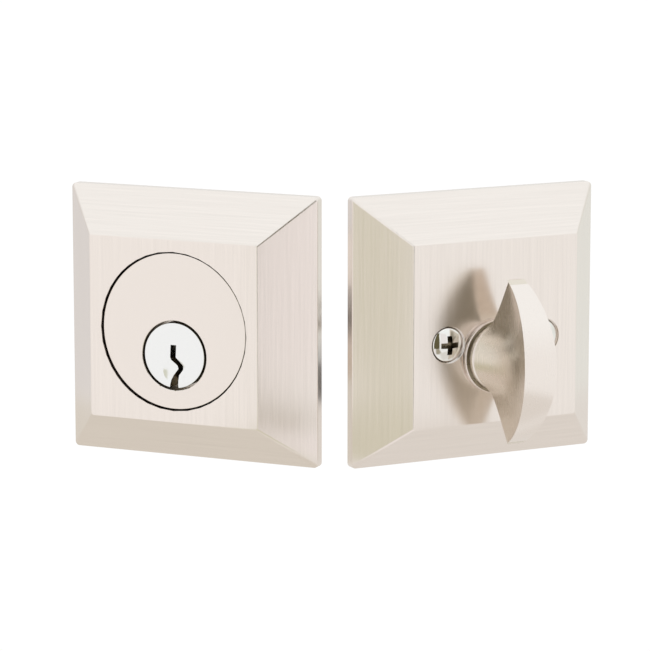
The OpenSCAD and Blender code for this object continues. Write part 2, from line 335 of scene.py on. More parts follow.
def loft(name, rows, gap=None):
    """Joins loops of points, one after another and back to the first, into a closed skin.

    With a gap, that loop and the next are not joined; each is closed by a flat cap.
    """
    n = len(rows[0])
    verts = [p for row in rows for p in row]
    faces = []
    for r in range(len(rows)):
        if r == gap:
            continue
        after = (r + 1) % len(rows)
        for k in range(n):
            m = (k + 1) % n
            faces.append((r * n + k, r * n + m, after * n + m, after * n + k))
    if gap is not None:
        faces += [tuple(range(gap * n, (gap + 1) * n)), tuple(range((gap + 1) * n, (gap + 2) * n))]
    return clean(new_object(name, verts, faces))


def sector(name, inner, outer, middle, spread, y0, y1, z):
    """An arc block; angles count from straight up, counter-clockwise seen from the front."""
    steps = 12
    angles = [math.radians(middle - spread + 2 * spread * k / steps) for k in range(steps + 1)]
    outline = [(-outer * math.sin(a), outer * math.cos(a)) for a in angles]
    outline += [(-inner * math.sin(a), inner * math.cos(a)) for a in reversed(angles)]
    return prism(name, outline, y0, y1, 0, z)


# ------------------------------------------------------------------ materials
def link(tree, source, target):
    tree.links.new(source, target)


def new_material(name):
    material = bpy.data.materials.new(name)
    material.use_nodes = True
    tree = material.node_tree
    return material, tree, tree.nodes["Principled BSDF"]


def mapped(tree, scale, yaw=0.0, middle=(0, 0, 0)):
    """Object coordinates centred on a point and turned with the unit, then scaled along each of its sides."""
    coords = tree.nodes.new("ShaderNodeTexCoord")
    centre = tree.nodes.new("ShaderNodeMapping")
    centre.vector_type = "TEXTURE"
    centre.inputs["Location"].default_value = middle
    centre.inputs["Rotation"].default_value = (0, 0, yaw)
    link(tree, coords.outputs["Object"], centre.inputs["Vector"])
    size = tree.nodes.new("ShaderNodeMapping")
    size.inputs["Scale"].default_value = scale
    link(tree, centre.outputs["Vector"], size.inputs["Vector"])
    return size.outputs["Vector"], centre.outputs["Vector"]


def noise(tree, vector, detail=3.0, roughness=0.6):
    node = tree.nodes.new("ShaderNodeTexNoise")
    node.inputs["Scale"].default_value = 1.0
    node.inputs["Detail"].default_value = detail
    node.inputs["Roughness"].default_value = roughness
    link(tree, vector, node.inputs["Vector"])
    return node.outputs["Fac"]


def spread(tree, value, low, high, start=0.3, end=0.7):
    node = tree.nodes.new("ShaderNodeMapRange")
    node.inputs["From Min"].default_value = start
    node.inputs["From Max"].default_value = end
    node.inputs["To Min"].default_value = low
    node.inputs["To Max"].default_value = high
    link(tree, value, node.inputs["Value"])
    return node.outputs["Result"]


def mixed(tree, factor, first, second):
    """A colour between two; each is either a plain colour or the output of a node."""
    node = tree.nodes.new("ShaderNodeMix")
    node.data_type = "RGBA"
    link(tree, factor, node.inputs["Factor"])
    for name, value in (("A", first), ("B", second)):
        if isinstance(value, tuple):
            node.inputs[name].default_value = (*value, 1)
        else:
            link(tree, value, node.inputs[name])
    return node.outputs["Result"]


def bump(tree, height, distance, shader):
    node = tree.nodes.new("ShaderNodeBump")
    node.inputs["Distance"].default_value = distance
    link(tree, height, node.inputs["Height"])
    link(tree, node.outputs["Normal"], shader.inputs["Normal"])


NICKEL = (0.855, 0.775, 0.72)
NICKEL_DEEP = (0.822, 0.742, 0.687)


def brushed(name, color, deep, grain, yaw=0.0, rough=(0.19, 0.26), depth=0.9e-6):
    """Metal with a fine straight grain. grain is 'z' for upright or 'x' for level, along the unit's width."""
    material, tree, shader = new_material(name)
    across = 3400.0
    along = 60.0
    scale = (across, across, along) if grain == "z" else (along, across, across)
    fine, _ = mapped(tree, scale, yaw)
    broad, _ = mapped(tree, tuple(v * 0.65 for v in scale), yaw)
    lines = noise(tree, fine, 3, 0.65)
    bands = noise(tree, broad, 2, 0.5)
    tone = mixed(tree, spread(tree, bands, 0, 1), deep, color)
    link(tree, tone, shader.inputs["Base Color"])
    link(tree, spread(tree, lines, rough[0], rough[1]), shader.inputs["Roughness"])
    shader.inputs["Metallic"].default_value = 1.0
    bump(tree, lines, depth, shader)
    return material


def spun(name, color, deep, unit, middle_z, rough=(0.22, 0.28), depth=0.4e-6, pitch=2600.0):
    """Metal faced on a lathe: fine rings round the unit's own axis."""
    material, tree, shader = new_material(name)
    middle = unit.middle + Vector((0, 0, middle_z * MM))
    _, local = mapped(tree, (1, 1, 1), unit.yaw, tuple(middle))
    flat = tree.nodes.new("ShaderNodeVectorMath")
    flat.operation = "MULTIPLY"
    flat.inputs[1].default_value = (1, 0, 1)
    link(tree, local, flat.inputs[0])
    radius = tree.nodes.new("ShaderNodeVectorMath")
    radius.operation = "LENGTH"
    link(tree, flat.outputs["Vector"], radius.inputs[0])
    line = tree.nodes.new("ShaderNodeCombineXYZ")
    link(tree, radius.outputs["Value"], line.inputs["X"])
    rings = tree.nodes.new("ShaderNodeVectorMath")
    rings.operation = "SCALE"
    rings.inputs["Scale"].default_value = pitch
    link(tree, line.outputs["Vector"], rings.inputs[0])
    lines = noise(tree, rings.outputs["Vector"], 3, 0.6)
    tone = mixed(tree, spread(tree, lines, 0, 1), deep, color)
    link(tree, tone, shader.inputs["Base Color"])
    link(tree, spread(tree, lines, rough[0], rough[1]), shader.inputs["Roughness"])
    shader.inputs["Metallic"].default_value = 1.0
    bump(tree, lines, depth, shader)
    return material


def worked_metal(name, color, deep, rough, grain=900.0, depth=1.5e-6):
    """Polished, plated or machined metal with slight unevenness."""
    material, tree, shader = new_material(name)
    spots, _ = mapped(tree, (grain, grain, grain))
    cloud = noise(tree, spots, 4, 0.55)
    tone = mixed(tree, spread(tree, cloud, 0, 1), deep, color)
    link(tree, tone, shader.inputs["Base Color"])
    link(tree, spread(tree, cloud, rough[0], rough[1]), shader.inputs["Roughness"])
    shader.inputs["Metallic"].default_value = 1.0
    bump(tree, cloud, depth, shader)
    return material


def moulded(name, color, deep):
    material, tree, shader = new_material(name)
    spots, _ = mapped(tree, (1500, 1500, 1500))
    cloud = noise(tree, spots, 3, 0.5)
    tone = mixed(tree, spread(tree, cloud, 0, 1), deep, color)
    link(tree, tone, shader.inputs["Base Color"])
    link(tree, spread(tree, cloud, 0.42, 0.55), shader.inputs["Roughness"])
    bump(tree, cloud, 2e-6, shader)
    return material


face_grain = brushed("satin_nickel_upright_grain", NICKEL, NICKEL_DEEP, "z")
exterior_level = brushed("satin_nickel_level_grain_exterior", NICKEL, NICKEL_DEEP, "x", exterior.yaw)
interior_level = brushed("satin_nickel_level_grain_interior", NICKEL, NICKEL_DEEP, "x", interior.yaw)
latch_level = brushed("satin_nickel_level_grain_latch", NICKEL, NICKEL_DEEP, "x")
turn_grain = brushed("satin_nickel_thumbturn", NICKEL, (0.85, 0.77, 0.715), "z", 0.0, (0.24, 0.28), 0.25e-6)
# painted shade: the blade's sides get a darker nickel than its band, for the shade on them
blade_side_painted_shade = brushed("satin_nickel_thumbturn_side", (0.755, 0.675, 0.58), (0.745, 0.665, 0.57), "z", 0.0,
                    (0.26, 0.31), 0.2e-6)
cylinder_spun = spun("spun_nickel_cylinder", NICKEL, NICKEL_DEEP, exterior, 0.0)
plug_polish = spun("polished_nickel_plug", (0.87, 0.86, 0.85), (0.85, 0.84, 0.83), exterior, -AXIS_DROP,
                   (0.12, 0.18), 0.4e-6)
# painted shade: a dark brass tone for the inside of bores, keyway and chambers, where shade falls
bore_painted_shade = worked_metal("bored_brass", (0.34, 0.29, 0.20), (0.26, 0.22, 0.15), (0.35, 0.45), 900, 1.5e-6)
bright = worked_metal("polished_nickel", (0.84, 0.81, 0.77), (0.80, 0.77, 0.73), (0.05, 0.09), 500, 0.2e-6)
# painted shade: a dark tone for the screws' cross recess
recess_painted_shade = worked_metal("shaded_recess", (0.36, 0.32, 0.25), (0.28, 0.245, 0.19), (0.20, 0.30), 700, 0.5e-6)
# painted shade: a dark tone for the groove round the thumbturn's hub
shaded_groove = worked_metal("shaded_groove", (0.54, 0.485, 0.39), (0.46, 0.41, 0.325), (0.26, 0.34), 700, 0.5e-6)
zinc = worked_metal("zinc_plated_steel", (0.62, 0.63, 0.64), (0.52, 0.53, 0.55), (0.28, 0.42), 500, 2e-6)
oiled = worked_metal("oiled_dark_steel", (0.23, 0.23, 0.24), (0.17, 0.17, 0.18), (0.30, 0.44), 800, 2e-6)
brass = worked_metal("machined_brass", (0.78, 0.60, 0.30), (0.70, 0.52, 0.24), (0.22, 0.34), 900, 1.5e-6)
spring_steel = worked_metal("spring_steel", (0.58, 0.58, 0.60), (0.48, 0.48, 0.50), (0.22, 0.32), 1200, 1e-6)
nylon = moulded("white_nylon", (0.82, 0.82, 0.78), (0.76, 0.76, 0.72))


# ------------------------------------------------------------------ rosettes
def rosette_shell(name, centre_hole):
    """Hollow square shell: flat rim, four bevels, raised face with a round hole in the middle."""
    half = PLATE / 2
    face_half = FACE / 2

    def level(size, corner, y):
        return [(px, y, pz) for px, pz in rounded_square(size, corner)]

    def circle(radius, y):
        """As many points as a square loop has, lying in the same directions."""
        loop = rounded_square(face_half, FACE_CORNER)
        return [(radius * px / math.hypot(px, pz), y, radius * pz / math.hypot(px, pz)) for px, pz in loop]

    run = half - face_half
    rise = FACE_OUT - RIM
    slope = math.hypot(run, rise)
    rows = [level(half - 0.1, PLATE_CORNER, 0), level(half, PLATE_CORNER, -0.1)]
    # rim: upright edge, then rolled over into the bevel
    roll = 0.6
    lean = math.atan2(run, rise)
    tangent = roll * math.tan(lean / 2)
    steps = 5
    for k in range(steps + 1):
        angle = lean * k / steps
        size = half - roll + roll * math.cos(angle)
        y = -(RIM - tangent) - roll * math.sin(angle)
        rows.append(level(size, PLATE_CORNER, y))
    # bevel up to the small radius at the raised face
    crest = 0.35
    bend = math.atan2(rise, run)
    reach = crest * math.tan(bend / 2)
    for share in (0.035, 0.5, 0.965):
        size = half - share * run
        corner = PLATE_CORNER + (FACE_CORNER - PLATE_CORNER) * share
        rows.append(level(size, corner, -RIM - share * rise))
    for k in range(5):
        angle = math.pi / 2 - bend + bend * k / 4
        size = face_half - reach + crest * math.cos(angle)
        y = -(FACE_OUT - crest) - crest * math.sin(angle)
        rows.append(level(size, FACE_CORNER, y))
    rows.append(level(face_half - reach - 0.25, FACE_CORNER, -FACE_OUT))
    if centre_hole:
        mouth = circle(centre_hole + 0.12, -FACE_OUT)
        rows.append([tuple((Vector(a) + Vector(b)) / 2) for a, b in zip(rows[-1], mouth)])
        rows += [mouth, circle(centre_hole + 0.03, -FACE_OUT + 0.03)]
        rows += [circle(centre_hole, -FACE_OUT + 0.12), circle(centre_hole, -FACE_OUT + WALL)]
    gap = None if centre_hole else len(rows) - 1
    inner_face = half - WALL * rise / slope - (rise - WALL + WALL * run / slope) * run / rise
    inner_rim = RIM - WALL * run / slope - (WALL - WALL * rise / slope) * rise / run
    rows.append(level(inner_face, FACE_CORNER, -FACE_OUT + WALL))
    rows += [level(half - WALL, INNER_CORNER, -inner_rim), level(half - WALL, INNER_CORNER, 0)]
    return loft(name, rows, gap)


def grain_side(face):
    """0 where the grain stands upright, 1 on the bevels above and below the face."""
    n = face.normal
    c = face.center
    on_bevel = n.y < -0.2 and abs(n.z) > abs(n.x) and abs(n.z) > 0.12 and abs(c.z) > abs(c.x) - 0.5
    return 1 if on_bevel or abs(n.z) > 0.9 else 0


def exterior_shell():
    piece = rosette_shell("exterior_rosette_shell", CYLINDER_R + CYLINDER_GAP)
    paint(piece, [face_grain, exterior_level], grain_side)
    shade(piece, 25)
    seat(piece, exterior, "lock_set", "satin_nickel", "exterior_rosette")


def interior_shell():
    piece = rosette_shell("interior_rosette_shell", None)
    tools = [rod("stem_hole", STEM_HOLE_R, -FACE_OUT - 1, -FACE_OUT + WALL + 1, 0, -AXIS_DROP)]
    for side in (-1, 1):
        funnel = [(0, -FACE_OUT - 1), (SEAT_R + 0.1, -FACE_OUT - 1), (SEAT_R + 0.1, -FACE_OUT),
                  (SEAT_R, -FACE_OUT + 0.1), (SEAT_R, -FACE_OUT + HEAD_SINK),
                  (SHANK_R + 0.25, -FACE_OUT + WALL + 0.1), (SHANK_R + 0.25, -FACE_OUT + WALL + 1),
                  (0, -FACE_OUT + WALL + 1)]
        tools.append(lathe("screw_seat", funnel, side * SCREW_SIDE, -SCREW_DROP))
    cut(piece, *tools)
    paint(piece, [face_grain, interior_level], grain_side)
    shade(piece, 25)
    seat(piece, interior, "lock_set", "satin_nickel", "interior_rosette")


# ------------------------------------------------------------------ key cylinder
def chamber(k, low, high):
    return upright("chamber", CHAMBER_R, low, high, 0, PIN_FIRST + k * PIN_PITCH)


def inside_plug_seat(face):
    c = face.center
    return math.hypot(c.x, c.z + AXIS_DROP) < PLUG_SEAT_R + 0.05 and c.y < 0


def cylinder():
    profile = [(0, -CYLINDER_FRONT), (CYLINDER_R - 0.3, -CYLINDER_FRONT), (CYLINDER_R - 0.1, -CYLINDER_FRONT),
               (CYLINDER_R - 0.03, -CYLINDER_FRONT + 0.03),
               (CYLINDER_R, -CYLINDER_FRONT + 0.1), (CYLINDER_R, CYLINDER_BACK - 0.3),
               (CYLINDER_R - 0.3, CYLINDER_BACK), (0, CYLINDER_BACK)]
    piece = lathe("key_cylinder", profile, steps=192)
    inside = -PLUG_FRONT + PLUG_FLANGE + 0.2
    mouth = [(0, -CYLINDER_FRONT - 1), (PLUG_SEAT_R + 0.1, -CYLINDER_FRONT - 1),
             (PLUG_SEAT_R + 0.1, -CYLINDER_FRONT), (PLUG_SEAT_R, -CYLINDER_FRONT + 0.1),
             (PLUG_SEAT_R, inside), (PLUG_BORE_R, inside), (PLUG_BORE_R, CYLINDER_BACK + 1),
             (0, CYLINDER_BACK + 1)]
    tools = [lathe("plug_bore", mouth, 0, -AXIS_DROP)]
    tools += [chamber(k, 0.0, CYLINDER_R + 2) for k in range(PIN_COUNT)]
    tools += [rod("screw_hole", TAPPED_R, -8, CYLINDER_BACK + 1, s * SCREW_SIDE, -SCREW_DROP) for s in (-1, 1)]
    cut(piece, *tools)
    # the walls of the plug's bore are painted dark as shade
    paint(piece, [cylinder_spun, bore_painted_shade], lambda face: int(face.normal.y > -0.9 and inside_plug_seat(face)))
    shade(piece, 30)
    seat(piece, exterior, "lock_set", "satin_nickel", "cylinder_body")


KEYWAY = [(-1.0, 2.6), (0.5, 2.6), (0.35, -0.4), (1.4, -1.5), (2.3, -2.5), (2.2, -3.4), (1.0, -4.9), (0.9, -6.1),
          (1.2, -9.5), (-1.5, -9.5), (-1.0, -6.1), (-0.5, -5.0), (0.8, -3.3), (0.6, -2.5), (-0.9, -1.2), (-1.15, -0.4)]
DISH_DROP = 3.9
DISH_R = 3.3
DISH_DEPTH = 0.6


def plug():
    flange = PLUG_FRONT - PLUG_FLANGE
    profile = [(0, -PLUG_FRONT), (PLUG_FACE_R - 0.35, -PLUG_FRONT), (PLUG_FACE_R - 0.15, -PLUG_FRONT),
               (PLUG_FACE_R - 0.04, -PLUG_FRONT + 0.04),
               (PLUG_FACE_R, -PLUG_FRONT + 0.15), (PLUG_FACE_R, -flange), (PLUG_R, -flange),
               (PLUG_R, CYLINDER_BACK + 1.5), (0, CYLINDER_BACK + 1.5)]
    piece = lathe("key_plug", profile, 0, -AXIS_DROP, 128)
    lug = sector("lug", LUG_INNER, LUG_OUTER, 0, LUG_SPREAD, CYLINDER_BACK + 1, CYLINDER_BACK + 3.1, -AXIS_DROP)
    fused(piece, lug)
    bowl = [(0, -PLUG_FRONT + DISH_DEPTH)]
    bowl += [(DISH_R * k / 10, -PLUG_FRONT + DISH_DEPTH * (1 - (k / 10) ** 2)) for k in range(1, 12)]
    bowl += [(DISH_R * 1.1, -PLUG_FRONT - 1), (0, -PLUG_FRONT - 1)]
    tools = [lathe("dish", bowl, 0, -AXIS_DROP - DISH_DROP, 96)]
    tools += [prism("keyway", KEYWAY, -PLUG_FRONT - 1, CYLINDER_BACK - 1, 0, -AXIS_DROP)]
    tools += [chamber(k, -AXIS_DROP - 0.6, -AXIS_DROP + 9) for k in range(PIN_COUNT)]
    cut(piece, *tools)
    soften(piece, 0.08, 2, 50)
    # the keyway and chamber walls inside the plug are painted dark as shade
    paint(piece, [plug_polish, bore_painted_shade],
          lambda face: int(face.normal.y > -0.5 and face.center.y > -PLUG_FRONT + 0.5))
    shade(piece, 30)
    seat(piece, exterior, "key_plug", "bright_nickel", "cylinder_plug")


# ------------------------------------------------------------------ thumbturn
ARC_MIDDLE = (TURN_OUT ** 2 - TIP_OUT ** 2 - TURN_HALF ** 2) / (2 * (TURN_OUT - TIP_OUT))
ARC_R = TURN_OUT - ARC_MIDDLE


def crest_out(u):
    return ARC_MIDDLE + math.sqrt(ARC_R ** 2 - u * u)


def foot_out(u):
    rise = max(0.0, abs(u) - HUB_R) / (TURN_HALF - HUB_R)
    return min(FOOT_LOW + (TIP_OUT - 2.0) * rise ** FOOT_CURVE, crest_out(u) - 0.3)


def half_width(u, share):
    """Half of the blade's thickness at height u; share runs from the foot, 0, to the outer band, 1."""
    band = BAND_HALF * (1 - BAND_TAPER * (u / TURN_HALF) ** 2)
    waist = WAIST_SHARE * band
    hub = math.sqrt(max(0.0, HUB_R ** 2 - u * u))
    foot = (hub ** 4 + waist ** 4) ** 0.25
    flare = (1 - share) ** 2.4 * max(0.0, 1 - (u / HUB_R) ** 2) ** (1.6 * share)
    return waist + (foot - waist) * flare + (band - waist) * share ** 3


def in_groove(face):
    """The groove between base ring and hub, painted dark as shade."""
    c = face.center
    r = math.hypot(c.x, c.z + AXIS_DROP)
    return HUB_R - 0.1 < r < HUB_R + 0.65 and -FACE_OUT - 1.5 < c.y < -FACE_OUT - 0.6


def thumbturn():
    slices = 72
    steps = 18
    verts = []
    faces = []
    for i in range(slices + 1):
        u = TURN_HALF * 0.997 * math.sin(math.radians(90 * (2 * i / slices - 1)))
        low = foot_out(u)
        high = crest_out(u)
        column = [(half_width(u, j / steps), -FACE_OUT - low - (high - low) * j / steps) for j in range(steps + 1)]
        crown = []
        band = half_width(u, 1)
        for j in range(1, 6):
            x = band * (1 - j / 3)
            crown.append((x, -FACE_OUT - high - 0.12 * band / BAND_HALF * (1 - (x / band) ** 2)))
        ring = column + crown + [(-x, y) for x, y in reversed(column)]
        verts += [(x, y, u - AXIS_DROP) for x, y in ring]
        count = len(ring)
    for i in range(slices):
        for j in range(count):
            a = i * count + j
            b = i * count + (j + 1) % count
            faces.append((a, b, b + count, a + count))
    faces.append(tuple(range(count)))
    faces.append(tuple(slices * count + j for j in range(count)))
    piece = clean(new_object("thumbturn_blade", verts, faces))
    base = -FACE_OUT - BASE_OUT
    floor = -FACE_OUT - GROOVE_FLOOR
    top = -FACE_OUT - HUB_OUT
    hub = [(0, STEM_END), (STEM_R - 0.3, STEM_END), (STEM_R, STEM_END - 0.3), (STEM_R, 1.75), (4.3, 1.75),
           (4.3, 0.95), (STEM_R, 0.95), (STEM_R, -FACE_OUT - 0.2), (BASE_R - 0.2, -FACE_OUT - 0.2),
           (BASE_R, -FACE_OUT - 0.4), (BASE_R, base + 0.2), (BASE_R - 0.06, base + 0.06), (BASE_R - 0.2, base),
           (HUB_R + GROOVE_W + 0.08, base), (HUB_R + GROOVE_W, base + 0.08), (HUB_R + GROOVE_W, floor),
           (HUB_R, floor), (HUB_R, top + 0.4), (HUB_R - 0.15, top + 0.1), (HUB_R - 0.5, top), (0, top)]
    fused(piece, lathe("hub", hub, 0, -AXIS_DROP, 160))
    cut(piece, block("tail_slot", (-1.3, -7, -AXIS_DROP - 3.9), (1.3, 5, -AXIS_DROP + 3.9)))
    soften(piece, 0.35, 4, 38)
    # the groove and the blade's sides are painted darker as shade
    paint(piece, [turn_grain, shaded_groove, blade_side_painted_shade],
          lambda face: 1 if in_groove(face) else 2 if face.normal.y > -0.5 and face.center.y < -FACE_OUT - 1.5 else 0)
    shade(piece, 40)
    seat(piece, interior, "turn", "satin_nickel", "thumbturn")


# ------------------------------------------------------------------ coils, screws and rivets
def socket_id(tree, name):
    return next(i.identifier for i in tree.interface.items_tree if i.name == name and i.in_out == "INPUT")


def coil_tree():
    """A wire wound along z: radius, height, number of turns and wire size are inputs."""
    tree = bpy.data.node_groups.new("wound_wire", "GeometryNodeTree")
    tree.interface.new_socket("Geometry", in_out="INPUT", socket_type="NodeSocketGeometry")
    for name in ("Coil radius", "Height", "Turns", "Wire radius"):
        tree.interface.new_socket(name, in_out="INPUT", socket_type="NodeSocketFloat")
    tree.interface.new_socket("Wire sides", in_out="INPUT", socket_type="NodeSocketInt")
    tree.interface.new_socket("Steps per turn", in_out="INPUT", socket_type="NodeSocketInt")
    tree.interface.new_socket("Finish", in_out="INPUT", socket_type="NodeSocketMaterial")
    tree.interface.new_socket("Geometry", in_out="OUTPUT", socket_type="NodeSocketGeometry")
    nodes = tree.nodes
    inputs = nodes.new("NodeGroupInput")
    outputs = nodes.new("NodeGroupOutput")
    helix = nodes.new("GeometryNodeCurveSpiral")
    link(tree, inputs.outputs["Steps per turn"], helix.inputs["Resolution"])
    link(tree, inputs.outputs["Turns"], helix.inputs["Rotations"])
    link(tree, inputs.outputs["Coil radius"], helix.inputs["Start Radius"])
    link(tree, inputs.outputs["Coil radius"], helix.inputs["End Radius"])
    link(tree, inputs.outputs["Height"], helix.inputs["Height"])
    section = nodes.new("GeometryNodeCurvePrimitiveCircle")
    link(tree, inputs.outputs["Wire sides"], section.inputs["Resolution"])
    link(tree, inputs.outputs["Wire radius"], section.inputs["Radius"])
    sweep = nodes.new("GeometryNodeCurveToMesh")
    sweep.inputs["Fill Caps"].default_value = True
    link(tree, helix.outputs["Curve"], sweep.inputs["Curve"])
    link(tree, section.outputs["Curve"], sweep.inputs["Profile Curve"])
    realize = nodes.new("GeometryNodeRealizeInstances")
    link(tree, sweep.outputs["Mesh"], realize.inputs["Geometry"])
    finish = nodes.new("GeometryNodeSetMaterial")
    link(tree, realize.outputs["Geometry"], finish.inputs["Geometry"])
    link(tree, inputs.outputs["Finish"], finish.inputs["Material"])
    link(tree, finish.outputs["Geometry"], outputs.inputs["Geometry"])
    return tree


def stud_tree():
    """The same round-headed stud at every point of a piece."""
    tree = bpy.data.node_groups.new("row_of_studs", "GeometryNodeTree")
    tree.interface.new_socket("Geometry", in_out="INPUT", socket_type="NodeSocketGeometry")
    tree.interface.new_socket("Stud", in_out="INPUT", socket_type="NodeSocketObject")
    tree.interface.new_socket("Finish", in_out="INPUT", socket_type="NodeSocketMaterial")
    tree.interface.new_socket("Geometry", in_out="OUTPUT", socket_type="NodeSocketGeometry")
    nodes = tree.nodes
    inputs = nodes.new("NodeGroupInput")
    outputs = nodes.new("NodeGroupOutput")
    info = nodes.new("GeometryNodeObjectInfo")
    link(tree, inputs.outputs["Stud"], info.inputs["Object"])
    copies = nodes.new("GeometryNodeInstanceOnPoints")
    link(tree, inputs.outputs["Geometry"], copies.inputs["Points"])
    link(tree, info.outputs["Geometry"], copies.inputs["Instance"])
    realize = nodes.new("GeometryNodeRealizeInstances")
    link(tree, copies.outputs["Instances"], realize.inputs["Geometry"])
    finish = nodes.new("GeometryNodeSetMaterial")
    link(tree, realize.outputs["Geometry"], finish.inputs["Geometry"])
    link(tree, inputs.outputs["Finish"], finish.inputs["Material"])
    link(tree, finish.outputs["Geometry"], outputs.inputs["Geometry"])
    return tree


def grown(piece, tree, values):
    """Runs a node tree on a piece and keeps the result as a plain mesh."""
    grow = piece.modifiers.new("grow", "NODES")
    grow.node_group = tree
    for name, value in values.items():
        grow[socket_id(tree, name)] = value
    return applied(piece)


WOUND_WIRE = coil_tree()
STUDS = stud_tree()


def coil(name, radius, height, turns, wire, sides, steps, material):
    piece = new_object(name, [(0, 0, 0)], [])
    values = {"Coil radius": radius, "Height": height, "Turns": turns, "Wire radius": wire, "Wire sides": sides,
              "Steps per turn": steps, "Finish": material}
    return clean(grown(piece, WOUND_WIRE, values))


def pin_springs():
    """Driver springs, each wound to the height of the CAD spring it replaces, on its pin below the chamber plug."""
    wire = 0.2
    for k in range(1, PIN_COUNT + 1):
        low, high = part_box(f"pin_spring_{k}")
        height = (high.z - low.z) / MM
        piece = coil(f"pin_spring_coil_{k}", 1.35 - wire, height - 2 * wire, 9, wire, 8, 20, spring_steel)
        middle = (low + high) / 2
        piece.data.transform(Matrix.Translation((middle.x, middle.y, low.z + wire * MM)) @ Matrix.Scale(MM, 4))
        shade(piece, 60)
        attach(piece, "lock_set")
        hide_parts(f"pin_spring_{k}")
        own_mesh(piece)


def dome_y(r):
    """Surface of a screw head's dome at radius r from the screw's axis."""
    return -FACE_OUT + HEAD_SINK - HEAD_RISE + DOME_R - math.sqrt(DOME_R ** 2 - r * r)


def screw_body(x):
    """Oval head with a cross recess, and the core of the shank."""
    edge = -FACE_OUT + HEAD_SINK
    dome = [(HEAD_R * k / 16, dome_y(HEAD_R * k / 16)) for k in range(16)]
    profile = dome + [(HEAD_R - 0.06, edge - 0.02), (HEAD_R, edge + 0.06), (SHANK_R, edge + 2.1),
                      (SHANK_R - 0.3, edge + 2.4), (SHANK_R - 0.3, SCREW_END - 0.8), (1.2, SCREW_END), (0, SCREW_END)]
    piece = lathe("screw", profile, x, -SCREW_DROP, 96)
    tools = []
    for along in ((2.8, 0.78), (0.78, 2.8)):
        top, bottom = -FACE_OUT - 1.6, -FACE_OUT + 1.3
        wide, deep = 1.0, 0.5
        corners = [(sx * along[0] * s, y, sz * along[1] * s - SCREW_DROP)
                   for y, s in ((top, wide), (bottom, deep)) for sx, sz in ((-1, -1), (1, -1), (1, 1), (-1, 1))]
        corners = [(x + px, y, pz) for px, y, pz in corners]
        faces = [(0, 1, 2, 3), (7, 6, 5, 4), (0, 4, 5, 1), (1, 5, 6, 2), (2, 6, 7, 3), (3, 7, 4, 0)]
        tools.append(clean(new_object("recess", corners, faces)))
    cut(piece, *tools)
    return soften(piece, 0.07, 2, 45)


def join(pieces, name):
    """Puts several finished meshes into one piece."""
    verts = []
    faces = []
    for piece in pieces:
        first = len(verts)
        verts += [tuple(v.co) for v in piece.data.vertices]
        faces += [tuple(first + i for i in face.vertices) for face in piece.data.polygons]
    for piece in pieces:
        bpy.data.objects.remove(piece)
    return new_object(name, verts, faces)


def in_recess(face):
    """Faces of the cross recess, painted dark as shade: near a screw axis, and below the dome."""
    c = face.center
    x = abs(abs(c.x) - SCREW_SIDE)
    r = math.hypot(x, c.z + SCREW_DROP)
    return r < HEAD_R - 0.6 and dome_y(min(r, HEAD_R)) + 0.12 < c.y < -FACE_OUT + 1.5


def mounting_screws():
    parts = []
    length = 30.0
    for side in (-1, 1):
        x = side * SCREW_SIDE
        parts.append(screw_body(x))
        thread = coil("thread", SHANK_R - 0.26, length, length / THREAD_PITCH, 0.26, 4, 28, bright)
        laid = Matrix.Rotation(math.radians(90), 4, "X")
        thread.data.transform(Matrix.Translation((x, SCREW_END - 0.9, -SCREW_DROP)) @ laid)
        parts.append(thread)
    piece = join(parts, "mounting_screw_pair")
    # the cross recess is painted dark as shade
    paint(piece, [bright, recess_painted_shade], lambda face: int(in_recess(face)))
    shade(piece, 35)
    seat(piece, interior, "lock_set", "bright_nickel", "mounting_screws")


def rivets():
    """Headed rivets through both side plates, made by repeating one turned rivet."""
    end = SIDE_PLATE_OUT + 0.02
    half_rivet = [(0, -end - 0.5), (0.9, -end - 0.48), (1.45, -end - 0.36), (1.72, -end - 0.12), (1.75, -end),
                  (1.3, -end)]
    profile = half_rivet + [(r, -y) for r, y in reversed(half_rivet)]
    stud = lathe("rivet", profile, steps=40)
    stud.data.transform(Matrix.Rotation(math.radians(90), 4, "X"))
    piece = new_object("side_plate_rivet_set", [(x, y, 0) for x, y in RIVETS], [])
    grown(piece, STUDS, {"Stud": stud, "Finish": bright})
    bpy.data.objects.remove(stud)
    clean(piece)
    shade(piece, 40)
    seat(piece, latch, "lock_set", "bright_nickel", "side_plate_rivets")


# ------------------------------------------------------------------ pieces that keep the CAD outline
def softened(node, name, body, material, width):
    """The CAD shape with its sharp edges broken."""
    source = bpy.data.objects[node] if node in bpy.data.objects else frame["nodes"][node]
    mesh = source.data.copy()
    piece = bpy.data.objects.new(name, mesh)
    bpy.context.scene.collection.objects.link(piece)
    work = bmesh.new()
    work.from_mesh(mesh)
    bmesh.ops.remove_doubles(work, verts=work.verts, dist=2e-6)
    bmesh.ops.dissolve_limit(work, angle_limit=math.radians(0.4), verts=work.verts, edges=work.edges)
    bmesh.ops.recalc_face_normals(work, faces=work.faces)
    work.to_mesh(mesh)
    work.free()
    soften(piece, width * MM)
    paint(piece, [material])
    shade(piece, 35)
    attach(piece, body)
    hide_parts(node)
    return piece


